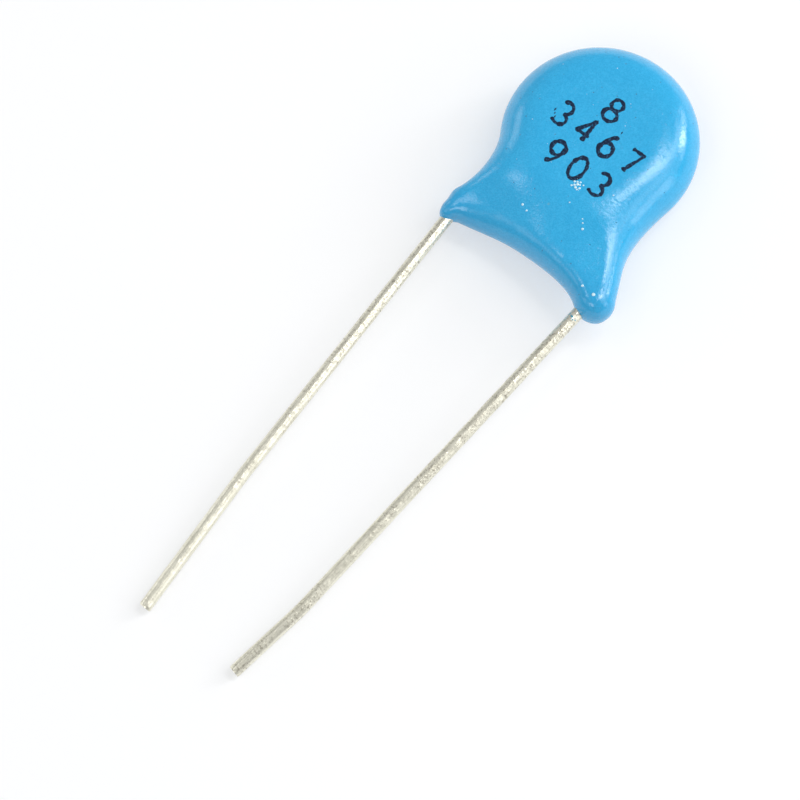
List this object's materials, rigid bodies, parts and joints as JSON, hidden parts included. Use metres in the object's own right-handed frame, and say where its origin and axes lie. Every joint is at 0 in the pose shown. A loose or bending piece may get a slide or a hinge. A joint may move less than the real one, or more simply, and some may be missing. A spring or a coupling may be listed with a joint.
{
  "type": "ceramic disc capacitor",
  "caption": "Flat round ceramic capacitor in a glossy blue dipped coat that runs down over two long tinned wires, lying on its back.",
  "frame": {"origin": "middle of the flat back face that the coat rests on", "axes": "+Z out of the front face, wires run out towards -Y, +X to the side that the front wire leaves from"},
  "size_m": [0.0099, 0.034, 0.0034],
  "materials": {
    "coat": "gloss",
    "tinned_wire": "satin",
    "ceramic": "matte",
    "silver_film": "satin",
    "solder": "satin"
  },
  "bodies": {
    "root": {"epoxy_coating": "coat", "ceramic_disc": "ceramic", "front_electrode": "silver_film", "back_electrode": "silver_film", "front_solder": "solder", "back_solder": "solder", "front_lead": "tinned_wire", "back_lead": "tinned_wire"}
  },
  "joints": []
}
